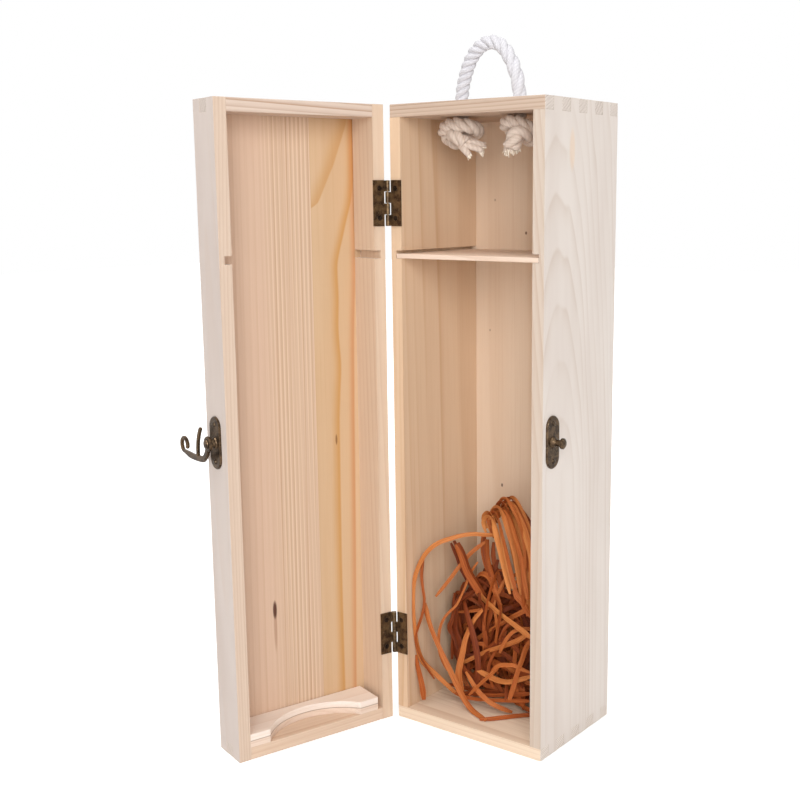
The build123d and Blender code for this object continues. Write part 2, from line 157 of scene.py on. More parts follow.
def sawn(along, wide, deep, heart, ring, early, late, strength=1.0, lean=0.03, dip=0.0, seed=0.0,
         waver=1.0):
    """Colour, height and late wood lines of a board sawn from a log.

    The log's heart runs at heart (across, through), and its year rings are ring apart.
    """
    stretched = drawn_out(along, wide, deep, 0.07, seed)
    wander = stretched.noise(45.0, 2.0)
    side = wide - heart[0] + along * lean + (wander - 0.5) * 0.005 * waver
    flare = along.math("MAXIMUM", along, -0.01) * dip
    rise = deep - heart[1] + flare + (stretched.noise(16.0, 1.0) - 0.5) * 0.016 * waver
    radius = (side * side + rise * rise) ** 0.5
    turns = radius / ring + wander * 0.8 * waver
    year = turns.math("FLOOR", turns)
    phase = turns - year
    chance = turns.step("TexWhiteNoise", {"noise_dimensions": "1D"}, {"W": year + seed})
    rich = drawn_out(along, radius, wide, 0.01, seed).noise(110.0, 1.0)
    line = (phase ** 2.6 * (1.0 - phase.between(0.88, 1.0)) * (0.4 + chance * 0.6)
            * rich.between(0.15, 0.6) * 1.25)
    fibres = drawn_out(along, wide, deep, 0.018, seed).noise(1500.0, 2.0, 0.6)
    pores = drawn_out(along, wide, deep, 0.012, seed).noise(520.0, 1.0, 0.5)
    cloud = stretched.noise(8.0, 2.0)
    clouded = tuple(0.88 * c + 0.12 * d for c, d in zip(early, late))
    body = cloud.between(0.3, 0.7).mix(early, clouded)
    tone = (line * strength).mix(body, late)
    tone = (fibres.between(0.25, 0.75) * 0.12 + pores.between(0.56, 0.78) * 0.16).mix(tone, late)
    return tone, line * 0.4 + fibres * 0.6, line


def stained(tone, along, wide, spots):
    """Adds small spots: each with its middle, its half sizes, its colour and its strength."""
    for (middle_along, middle_wide), (half_along, half_wide), colour, strength in spots:
        off_along = (along - middle_along) / half_along
        off_wide = (wide - middle_wide) / half_wide
        spot = 1.0 - (off_along * off_along + off_wide * off_wide).between(0.2, 1.1)
        tone = (spot * strength).mix(tone, colour)
    return tone


def bare_wood(shader, tone, relief):
    """Feeds in the colour, a dull sheen, and fibres that stand up a little."""
    feed(shader, "Base Color", tone)
    feed(shader, "Roughness", 0.58 + relief * 0.14)
    feed(shader, "Normal", relief.bump(0.15, 0.0004))
    shader.inputs["Specular IOR Level"].default_value = 0.3


def pine(name, start, grain, across, heart, ring, early, late, strength=1.0, lean=0.03, dip=0.0,
         seed=0.0, waver=1.0, outside=None, fair=None, spots=(), glue=None, cut=None):
    """Bare pine, its pattern measured from start.

    fair is the paler colour painted on its outer face as painted light, cut that of its end grain,
    and glue the height of a glue line.
    """
    material, shader, place = new_finish(name)
    grain, across = Vector(grain), Vector(across)
    local = place.step("VectorMath", {"operation": "SUBTRACT"}, {0: place, 1: start})
    along, wide, deep = local.dot(grain), local.dot(across), local.dot(grain.cross(across))
    tone, relief, line = sawn(along, wide, deep, heart, ring, early, late, strength, lean, dip,
                              seed, waver)
    facing = place.step("TexCoord", {}, {}, "Normal")
    # Painted light: the face turned to outside is painted the paler fair colour, as where light
    # falls, and its late wood lines show through a little.
    if outside:
        patchy = drawn_out(along, wide, deep, 0.2, seed).noise(38.0, 3.0, 0.6).between(0.35, 0.7)
        pale = patchy.mix(fair, tuple(c * k for c, k in zip(fair, (0.93, 0.91, 0.90, 1.0))))
        lit_outer_face = facing.dot(outside).between(0.6, 0.9) * (0.90 - line * 0.5 * strength)
        tone = lit_outer_face.mix(tone, pale)
    tone = stained(tone, along, wide, spots)
    end = abs(facing.dot(grain)).between(0.7, 0.9)
    hatch = ((wide + deep) * 4300.0 + relief * 3.0).wave()
    growth = (hatch * 0.6 + line * 0.5).mix(cut or paint(240, 230, 222),
                                            paint(178, 162, 149))
    tone = (end * 0.88).mix(tone, growth)
    if glue is not None:
        seam = 1.0 - abs(place.dot(UP) - glue).between(0.00005, 0.0004)
        tone = (seam * 0.6).mix(tone, paint(120, 84, 58))
    bare_wood(shader, tone, relief)
    return material


def dress(finish, *names):
    """Gives a CAD node its finish."""
    for name in names:
        nodes[name].data.materials.clear()
        nodes[name].data.materials.append(finish)


def ease(width, *names):
    """Breaks the sharp edges of a sawn board by sanding."""
    for name in names:
        joined = nodes[name].modifiers.new("joined", "WELD")
        joined.merge_threshold = 0.00001
        sanded = nodes[name].modifiers.new("sanded", "BEVEL")
        sanded.width, sanded.segments = width, 2
        sanded.limit_method, sanded.angle_limit = "ANGLE", math.radians(40)
        sanded.use_clamp_overlap = True


UP, RIGHT, BACK = (0.0, 0.0, 1.0), (1.0, 0.0, 0.0), (0.0, 1.0, 0.0)
top_middle, bottom_middle, half_way = 0.3515, 0.0035, 0.17
dress(pine("case_hinge_side_pine", (-0.0465, 0, half_way), UP, BACK, (0.030, 0.060), 0.0052,
           paint(225, 196, 166), paint(196, 150, 107), 0.55, seed=1.3,
           outside=(-1, 0, 0), fair=paint(228, 216, 206)), "case_hinge_side")
dress(pine("case_latch_side_pine", (0.0465, 0, half_way), UP, BACK, (-0.020, 0.022), 0.0034,
           paint(210, 195, 181), paint(184, 154, 128), 0.6, lean=0.02, dip=-0.11, seed=4.1,
           waver=1.6, outside=(1, 0, 0), fair=paint(233, 223, 215),
           spots=[((0.159, -0.0105), (0.012, 0.0032), paint(238, 200, 156), 0.34)]),
      "case_latch_side")
dress(pine("case_top_pine", (0, 0, top_middle), RIGHT, BACK, (-0.06, 0.06), 0.0019,
           paint(206, 184, 165), paint(150, 112, 88), 1.0, seed=7.7,
           outside=(0, 0, 1), fair=paint(236, 230, 224)), "case_top")
dress(pine("case_bottom_pine", (0, 0, bottom_middle), RIGHT, BACK, (-0.05, 0.05), 0.0026,
           paint(242, 222, 199), paint(196, 158, 124), 0.6, seed=9.2), "case_bottom")
dress(pine("case_back_pine", (0, 0.0356, half_way), UP, RIGHT, (0.03, 0.14), 0.0075,
           paint(235, 212, 188), paint(208, 172, 138), 0.35, seed=12.4,
           outside=(0, 1, 0), fair=paint(226, 212, 198),
           spots=[((0.1143, -0.0073), (0.0011, 0.0008), paint(110, 78, 58), 0.9),
                  ((-0.0389, -0.0240), (0.0013, 0.0008), paint(92, 70, 60), 0.9),
                  ((0.1333, -0.0292), (0.0009, 0.0007), paint(130, 96, 72), 0.5),
                  ((0.0560, -0.0329), (0.0009, 0.0007), paint(130, 96, 72), 0.5)]), "case_back")
ease(0.00025, "case_hinge_side", "case_latch_side", "case_top", "case_bottom", "case_back")


# ---- lid boards ----
# The lid is a shallow tray of the same pine: four boards finger-jointed like the case's, and a
# panel glued up from three strips of different logs, pinkish, finely lined and amber. The resin
# bands of the amber strip and the dark pitch spot lie where they do on the real panel.
turn = math.radians(107.5)
LID_RIGHT = (math.cos(turn), -math.sin(turn), 0.0)
LID_IN = (math.sin(turn), math.cos(turn), 0.0)
LID_OUT = (-math.sin(turn), -math.cos(turn), 0.0)
hinge_pin = Vector((-0.0515, -0.038075, 0.0))
lid_middle, lid_half_deep = 0.0515, -0.012
lid_cut = paint(222, 210, 201)


def lid_place(across, up):
    """A place half-way through the lid's depth, across and up from the hinge pin."""
    return (hinge_pin + across * Vector(LID_RIGHT) + lid_half_deep * Vector(LID_IN)
            + up * Vector(UP))


dress(pine("lid_hinge_side_pine", lid_place(0.005, half_way), UP, LID_IN, (0.05, 0.03), 0.0036,
           paint(224, 200, 176), paint(198, 160, 130), 0.5, seed=21.0,
           outside=tuple(-c for c in LID_RIGHT), fair=paint(230, 218, 206)), "lid_hinge_side")
# Its outer face is painted darker than the case's outer faces: painted shade for the shadow on it
# while the lid stands open.
dress(pine("lid_latch_side_pine", lid_place(0.098, half_way), UP, LID_IN, (0.0, 0.045), 0.0017,
           paint(219, 197, 178), paint(190, 156, 128), 0.6, dip=-0.01, seed=24.6, waver=1.4,
           outside=LID_RIGHT, fair=paint(217, 204, 196)), "lid_latch_side")
dress(pine("lid_top_pine", lid_place(lid_middle, top_middle), LID_RIGHT, LID_IN, (-0.05, 0.05),
           0.0021, paint(222, 203, 188), paint(174, 135, 106), 1.0, seed=27.9,
           outside=(0, 0, 1), fair=paint(236, 230, 224), cut=lid_cut), "lid_top")
dress(pine("lid_bottom_pine", lid_place(lid_middle, bottom_middle), LID_RIGHT, LID_IN,
           (0.05, 0.05), 0.0028, paint(228, 204, 182), paint(194, 150, 112), 0.6, seed=31.5,
           cut=lid_cut), "lid_bottom")

lid_height = 0.355
strip_seam = 0.0361
panel_material, panel_shader, panel_at = new_finish("lid_panel_pine")
panel_from = panel_at.step("VectorMath", {"operation": "SUBTRACT"}, {0: panel_at, 1: hinge_pin})
panel_along, panel_wide, panel_deep = (panel_from.dot(UP), panel_from.dot(LID_RIGHT),
                                       panel_from.dot(LID_IN))
panel = (panel_along, panel_wide, panel_deep)
pink = sawn(*panel, (0.16, 0.05), 0.0030, paint(219, 189, 165), paint(190, 150, 122), 0.5, 0.01,
            seed=35.1, waver=0.5)[0]
striped, striped_relief, striped_line = sawn(
    *panel, (0.16, 0.03), 0.0024, paint(215, 186, 160), paint(184, 140, 110), 1.0, 0.006,
    seed=36.4, waver=0.16)
pale_line = (panel_wide * 2600.0 + drawn_out(*panel, 0.02, 3.0).noise(120.0, 1.0) * 3.0).wave()
pale_line = pale_line.between(0.55, 0.95) * (1.0 - striped_line)
striped = (pale_line * 0.5).mix(striped, paint(234, 210, 180))
amber = sawn(*panel, (0.03, 0.05), 0.011, paint(214, 182, 147), paint(196, 155, 112), 0.4, 0.02,
             seed=38.2, waver=1.2)[0]
for edge, fades, resin, strength in (
        ([(0.800, 1.00), (0.842, 0.78), (0.852, 0.65), (0.873, 0.56), (0.891, 0.485),
          (0.909, 0.40), (0.934, 0.315), (0.958, 0.23), (0.976, 0.17)],
         0.012, paint(194, 142, 78), 0.60),
        ([(0.02, 0.40), (0.25, 0.42), (0.507, 0.39), (0.552, 0.372), (0.591, 0.338), (0.623, 0.362),
          (0.661, 0.385), (0.702, 0.352), (0.75, 0.383), (0.774, 0.338), (0.799, 0.267),
          (0.823, 0.215), (0.851, 0.128), (0.894, 0.075)],
         0.0075, paint(196, 140, 66), 0.72),
        ([(0.02, 0.22), (0.25, 0.17), (0.51, 0.142), (0.605, 0.13), (0.669, 0.115), (0.74, 0.075)],
         0.0055, paint(196, 128, 74), 0.66)):
    height = panel_along / lid_height
    flow = height.step("ValToRGB", {"stops": [(z, (v, v, v, 1.0)) for z, v in edge]}, {0: height})
    past = panel_wide - 0.005 - flow * 0.040
    band = past.between(-0.0003, 0.0009) * (1.0 - past.between(0.0006, fades)) ** 1.4
    within = height.between(edge[0][0] - 0.004, edge[0][0] + 0.004)
    amber = (band * within * strength).mix(amber, resin)
panel_tone = panel_wide.between(0.056, 0.070).mix(striped, pink)
panel_tone = panel_wide.between(strip_seam - 0.0001, strip_seam + 0.0001).mix(amber, panel_tone)
seam = 1.0 - abs(panel_wide - strip_seam).between(0.0, 0.0004)
panel_tone = (seam * 0.3).mix(panel_tone, paint(176, 130, 92))
corner = 1.0 - panel_wide.between(0.0085, 0.0098)
panel_tone = (corner * panel_along.between(0.26, 0.30) * 0.6).mix(panel_tone, paint(140, 96, 56))
panel_tone = stained(panel_tone, panel_along, panel_wide, [
    ((0.0640, 0.0664), (0.017, 0.0012), paint(150, 100, 72), 0.40),
    ((0.0744, 0.0664), (0.0062, 0.0015), paint(84, 46, 34), 0.95),
    ((0.1680, 0.0235), (0.0036, 0.0008), paint(120, 78, 44), 0.75)])
panel_facing = panel_at.step("TexCoord", {}, {}, "Normal")
# Painted light: the panel's outer face is painted paler, as where light falls on the outside.
lit_outer_face = panel_facing.dot(LID_OUT).between(0.6, 0.9)
panel_tone = (lit_outer_face * 0.8).mix(panel_tone, paint(220, 209, 199))
bare_wood(panel_shader, panel_tone, striped_relief)
dress(panel_material, "lid_panel")
ease(0.00025, "lid_hinge_side", "lid_latch_side", "lid_top", "lid_bottom", "lid_panel")


# ---- divider and cradle ----
# A thin pine shelf that slides in two saw-cut grooves of the case, and in the foot of the lid two
# small boards glued one on the other with an arc cut in them, where the bottle's body lies.
dress(pine("divider_pine", (0, 0, 0.273), RIGHT, BACK, (0.02, 0.02), 0.0022,
           paint(236, 213, 194), paint(186, 143, 108), 0.8, seed=41.0), "divider_plate")
cradle_glue = 0.0108
dress(pine("cradle_lower_pine", lid_place(lid_middle, 0.009), LID_RIGHT, LID_IN, (0.02, 0.04),
           0.0034, paint(238, 218, 202), paint(202, 164, 134), 0.5, seed=44.0, glue=cradle_glue),
      "cradle_lower")
dress(pine("cradle_upper_pine", lid_place(lid_middle, 0.0127), LID_RIGHT, LID_IN, (-0.02, 0.05),
           0.0042, paint(250, 238, 228), paint(222, 194, 170), 0.45, seed=47.0, glue=cradle_glue),
      "cradle_upper")
ease(0.0002, "divider_plate", "cradle_lower", "cradle_upper")


# ---- hinges ----
# Two small butt hinges of stamped steel, plated antique bronze, with four knuckles on a plain pin
# and countersunk screws of darker steel.
def bronze(name, base, worn, dark, rough):
    """Antique bronze plating: brown patina in small clouds with brighter rubbed spots."""
    material, shader, place = new_finish(name)
    cloud = place.noise(260.0, 4.0, 0.6)
    speck = place.noise(1400.0, 2.0, 0.5)
    tone = cloud.between(0.35, 0.68).mix(dark, base)
    tone = (speck.between(0.55, 0.75) * 0.4).mix(tone, worn)
    feed(shader, "Base Color", tone)
    feed(shader, "Roughness", rough + cloud * 0.22)
    feed(shader, "Normal", speck.bump(0.16, 0.00012))
    shader.inputs["Metallic"].default_value = 0.8
    return material


hinge_bronze = bronze("hinge_bronze", paint(125, 100, 70), paint(170, 150, 118),
                      paint(70, 54, 40), 0.24)
screw_steel = bronze("screw_steel", paint(64, 52, 42), paint(120, 104, 88), paint(30, 24, 20), 0.24)
pin_bronze = bronze("pin_bronze", paint(140, 122, 98), paint(186, 168, 138), paint(92, 76, 58),
                    0.22)
dress(hinge_bronze, "upper_hinge_case_leaf", "lower_hinge_case_leaf", "upper_hinge_lid_leaf",
      "lower_hinge_lid_leaf")
dress(pin_bronze, "upper_hinge_pin", "lower_hinge_pin")
dress(screw_steel, "case_hinge_screws", "lid_hinge_screws")


# ---- latch ----
# Two round-ended plates of the same bronze on the outer faces, one with a headed stud and one with
# a cast hook that turns on a rivet; each plate has two domed screws.
latch_bronze = bronze("latch_bronze", paint(110, 88, 65), paint(180, 154, 118),
                      paint(62, 48, 36), 0.22)
dress(latch_bronze, "catch_plate", "catch_stud", "hook_plate", "hook_rivet", "hook")
dress(bronze("dome_bronze", paint(96, 80, 62), paint(176, 156, 124), paint(48, 38, 30), 0.18),
      "catch_plate_screws", "hook_plate_screws")


# ---- rope handle ----
# White cotton rope of three strands, 7.5 mm thick, up out of one hole in the top board, over in an
# arch and down the other hole. Its lay has opened on the latch side, so the pitch grows along it.
def rope_line(points, name):
    """Points along the smooth line that a rope takes past the route's points."""
    line = bpy.data.curves.new(name, "CURVE")
    line.dimensions = "3D"
    line.resolution_u = 24
    spline = line.splines.new("NURBS")
    spline.points.add(len(points) - 1)
    for knot, point in zip(spline.points, points):
        knot.co = (*point, 1.0)
    spline.order_u = 3
    spline.use_endpoint_u = True
    holder = bpy.data.objects.new(name, line)
    bpy.context.scene.collection.objects.link(holder)
    read = bpy.data.meshes.new_from_object(holder)
    places = np.array([v.co for v in read.vertices])
    bpy.data.objects.remove(holder)
    bpy.data.meshes.remove(read)
    return places


def even_steps(places, step):
    """The same line with its points an even step apart, and how far along it each one is."""
    runs = np.r_[0, np.cumsum(np.linalg.norm(np.diff(places, axis=0), axis=1))]
    marks = np.linspace(0, runs[-1], max(3, int(round(runs[-1] / step)) + 1))
    return np.stack([np.interp(marks, runs, places[:, k]) for k in range(3)], 1), marks


def side_vectors(places):
    """The way ahead at each point, and two vectors square to it, carried along without twist."""
    ahead = np.gradient(places, axis=0)
    ahead /= np.linalg.norm(ahead, axis=1)[:, None]
    first = np.zeros_like(places)
    start = np.cross(ahead[0], (0.31, 0.87, 0.38))
    first[0] = start / np.linalg.norm(start)
    for k in range(1, len(places)):
        carried = first[k - 1] - ahead[k] * (first[k - 1] @ ahead[k])
        first[k] = carried / np.linalg.norm(carried)
    return ahead, first, np.cross(ahead, first)


class Yarns:
    """Gathers tubes and ribbons into one mesh, with their length and girth as UVs."""

    def __init__(self):
        self.verts, self.faces, self.uvs, self.tones = [], [], [], []

    def tube(self, centres, across, upward, reach, marks, sides, squash=1.0):
        """A closed tube: across and upward span each section, reach is its radius there.

        squash stretches the section along upward.
        """
        base = len(self.verts)
        for k, centre in enumerate(centres):
            for s in range(sides):
                a = 2 * math.pi * s / sides
                self.verts.append(centre + reach[k] * (math.cos(a) * across[k]
                                                       + squash * math.sin(a) * upward[k]))
        for k in range(len(centres) - 1):
            for s in range(sides):
                t = (s + 1) % sides
                self.faces.append((base + k * sides + s, base + k * sides + t,
                                   base + (k + 1) * sides + t, base + (k + 1) * sides + s))
                self.uvs += [(marks[k], s / sides), (marks[k], (s + 1) / sides),
                             (marks[k + 1], (s + 1) / sides), (marks[k + 1], s / sides)]
        last = base + (len(centres) - 1) * sides
        self.faces.append(tuple(base + s for s in reversed(range(sides))))
        self.faces.append(tuple(last + s for s in range(sides)))
        self.uvs += [(marks[0], 0)] * sides + [(marks[-1], 0)] * sides

    def rope(self, places, thick, pitch):
        """Three strands laid round each other; thick and pitch are lists from end to end."""
        places, marks = even_steps(places, 0.0006)
        ahead, first, second = side_vectors(places)
        share = marks / marks[-1]
        girth = np.interp(share, np.linspace(0, 1, len(thick)), thick)
        pitches = np.interp(share, np.linspace(0, 1, len(pitch)), pitch)
        turns = np.cumsum(np.r_[0, np.diff(marks)] / pitches)
        for n in range(3):
            angle = 2 * math.pi * (turns + n / 3)
            out = np.cos(angle)[:, None] * first + np.sin(angle)[:, None] * second
            along = -np.sin(angle)[:, None] * first + np.cos(angle)[:, None] * second
            self.tube(places + out * (girth * 0.225)[:, None], out, along, girth * 0.275, marks,
                      16, 1.12)
        return places

    def strand(self, points, thick_from, thick_to, frays, rng, spread=0.55, length=0.0026):
        """One loose strand that ends in frayed threads."""
        places, marks = even_steps(rope_line(points, "strand_line"), 0.0006)
        ahead, first, second = side_vectors(places)
        reach = np.linspace(thick_from, thick_to, len(places)) / 2
        self.tube(places, first, second, reach, marks, 12)
        tip, way, one, two = places[-1], ahead[-1], first[-1], second[-1]
        for _ in range(frays):
            a, r = rng.uniform(0, 2 * math.pi), rng.uniform(0.1, 0.9) * reach[-1]
            root = tip + r * (math.cos(a) * one + math.sin(a) * two) - way * 0.001
            lean = spread * r / reach[-1]
            aim = way + lean * (math.cos(a) * one + math.sin(a) * two)
            far = root + aim * length * rng.uniform(0.5, 1.1) + np.array((0, 0, -0.0006))
            thread = np.linspace(root, far, 5)
            thread[2] += np.array([rng.uniform(-1, 1) for _ in range(3)]) * 0.0002
            _, side_one, side_two = side_vectors(thread)
            self.tube(thread, side_one, side_two, np.linspace(0.00042, 0.00020, 5),
                      marks[-1] + np.linspace(0, length, 5), 6)

    def made(self, name, finish):
        """The finished object, at the origin, with its finish on."""
        mesh = bpy.data.meshes.new(name)
        mesh.from_pydata([tuple(v) for v in self.verts], [], self.faces)
        unrolled = mesh.uv_layers.new(name="strand")
        unrolled.data.foreach_set("uv", np.array(self.uvs, np.float32).ravel())
        if self.tones:
            tones = mesh.attributes.new("tone", "FLOAT", "FACE")
            tones.data.foreach_set("value", self.tones)
        mesh.polygons.foreach_set("use_smooth", [True] * len(mesh.polygons))
        mesh.materials.append(finish)
        piece = bpy.data.objects.new(name, mesh)
        bpy.context.scene.collection.objects.link(piece)
        return piece


def cotton(name, fair, shadow):
    """Soft cotton yarn: fine twisted fibres that run round each strand."""
    material, shader, place = new_finish(name)
    strand = place.step("UVMap", {"uv_map": "strand"}, {})
    run = place.step("SeparateXYZ", {}, {0: strand}, "X")
    girth = place.step("SeparateXYZ", {}, {0: strand}, "Y")
    fuzz = place.noise(2600.0, 3.0, 0.65)
    yarn = (run * 2400.0 - girth * 18.0 + fuzz * 2.6).wave()
    cloud = place.noise(300.0, 2.0)
    tone = (yarn * 0.12 + fuzz * 0.4 + 0.19).between(0.15, 0.75).mix(shadow, fair)
    tone = (cloud.between(0.5, 0.8) * 0.3).mix(tone, shadow)
    feed(shader, "Base Color", tone)
    height = yarn * 0.12 + fuzz * 0.8
    feed(shader, "Normal", height.bump(0.35, 0.0004))
    shader.inputs["Roughness"].default_value = 0.92
    shader.inputs["Sheen Weight"].default_value = 0.25
    shader.inputs["Specular IOR Level"].default_value = 0.2
    return material


rope_cotton = cotton("rope_cotton", paint(232, 230, 233), paint(198, 196, 201))
handle_y = -0.01295
rope_route = [(x, handle_y, z) for x, z in (
    (-0.019, 0.348), (-0.019, 0.360), (-0.01596, 0.37134), (-0.0114, 0.38046), (-0.0038, 0.38635),
    (0.0057, 0.38578), (0.01235, 0.37856), (0.01653, 0.36982), (0.019, 0.360), (0.019, 0.348))]
handle_yarns = Yarns()
handle_path = handle_yarns.rope(rope_line(rope_route, "handle_line"),
                                (0.0074, 0.0076, 0.0078, 0.0074),
                                (0.013, 0.012, 0.013, 0.019, 0.026, 0.030))
handle = handle_yarns.made("rope_handle_strands", rope_cotton)
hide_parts("rope_handle")
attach(handle, "case")


# ---- rope knots ----
# Each end of the same rope, turned once round itself under the board and pulled tight into an
# overhand knot; the cut end has come open in frayed strands. Millimetres from the hole's middle.
# The knots' cotton is the rope's cotton painted darker and warmer: painted shade and warm bounced
# light under the top board.
shaded_knot_cotton = cotton("shaded_knot_cotton", paint(236, 220, 207), paint(190, 168, 151))
cut_cotton = cotton("cut_cotton", paint(255, 246, 232), paint(246, 230, 208))
hinge_knot = [(0, 0, 2), (0, 0, -4), (0, 2, -9), (-2, 3, -13), (-6.5, 1, -13.5), (-10, -1, -9.5),
              (-8, -5.5, -6), (0, -8, -4.0), (7.5, -6.5, -4.8), (10.5, -1, -6.5), (8, 4, -8),
              (1, 3, -9.5), (-4, -1, -10), (-2, -7, -9), (4, -9, -11), (8.5, -8, -14.5)]
latch_knot = [(0, 0, 2), (0, 0, -4), (2, 3, -10), (4, 3, -14), (9, 1, -13), (11, -2, -9),
              (7, -6, -6), (0, -8, -3.8), (-5, -6, -4.5), (-7.5, -1, -6.5), (-4, 4, -9),
              (3, 4, -10), (8, -1, -11), (8, -5.5, -10), (5, -8.5, -9.5), (2.5, -9, -12.5),
              (0.5, -8.5, -17)]
hinge_tail = [[(6, -8, -13.5), (11, -4, -13.5), (14.5, 0, -15.5)],
              [(7, -8, -15), (12, -5, -16.5), (14.5, -1.5, -18)],
              [(6, -8.5, -15.5), (8.5, -8, -18.5), (10, -7, -20.5)]]
latch_tail = [[(-1, -8.5, -15), (-2.5, -8, -17.5), (-3.5, -7.5, -19)],
              [(1, -9, -15), (0.5, -9, -17.5), (0, -8.5, -19)],
              [(3, -8, -15), (3.5, -8, -17), (3.5, -7.5, -18.5)]]
hole_x, board_under, cut_below = 19, 348.0, 16.5
for side, centre_x, turns, tails, thick in (
        ("hinge", -hole_x, hinge_knot, hinge_tail, (0.0074, 0.0078, 0.0084, 0.0078, 0.0074)),
        ("latch", hole_x, latch_knot, latch_tail, (0.0074, 0.0074, 0.0074, 0.0078, 0.0100))):
    loose = random.Random(7 if side == "hinge" else 11)
    hole = np.array((centre_x, handle_y * 1000, board_under))
    knot_yarns = Yarns()
    knot_yarns.rope(rope_line([(hole + p) / 1000 for p in turns], "knot_line"), thick,
                    (0.014, 0.016, 0.018, 0.022))
    for tail in tails:
        knot_yarns.strand([(hole + p) / 1000 for p in tail], 0.0042, 0.0034, 16, loose)
    knot = knot_yarns.made(f"rope_knot_{side}_strands", shaded_knot_cotton)
    knot.data.materials.append(cut_cotton)
    cut_top = (board_under - cut_below) / 1000
    for face in knot.data.polygons:
        if len(face.vertices) == 4 and face.area < 5e-7 and face.center.z < cut_top:
            face.material_index = 1
    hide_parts(f"rope_knot_{side}_side")
    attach(knot, "case")
